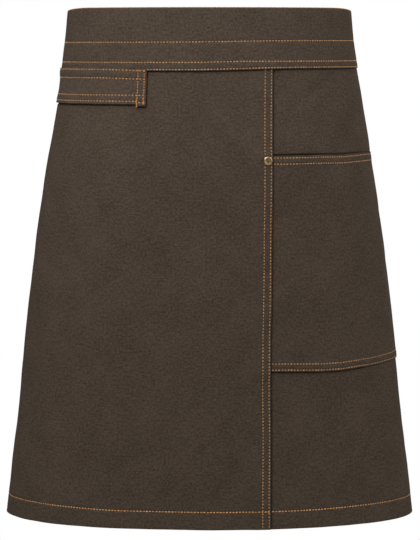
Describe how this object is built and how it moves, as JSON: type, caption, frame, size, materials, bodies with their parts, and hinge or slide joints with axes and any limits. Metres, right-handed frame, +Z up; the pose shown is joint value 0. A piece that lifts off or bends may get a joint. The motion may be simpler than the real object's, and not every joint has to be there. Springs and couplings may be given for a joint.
{
  "type": "waist apron",
  "caption": "Wrap-round waist apron of sturdy twill with a stitched waistband, a patch pocket with a rivet, a towel loop and back ties, kept in its worn form.",
  "frame": {"origin": "middle of the waist hollow, halfway up the waistband, where the wearer's waist holds the apron", "axes": "+Z up along the wearer, the apron's front towards -Y, its pocket towards +X"},
  "size_m": [0.4516, 0.2628, 0.5568],
  "materials": {
    "twill": "matte brown heather twill",
    "thread": "tan topstitching thread",
    "brass": "antique, worn bright at the rim"
  },
  "bodies": {
    "root": {"waistband": "twill", "main_panel": "twill", "side_panel": "twill", "pocket": "twill", "towel_loop": "twill", "rivet": "brass", "tie_left": "twill", "tie_right": "twill", "tie_knot": "twill", "tie_end_left": "twill", "tie_end_right": "twill"}
  },
  "joints": []
}
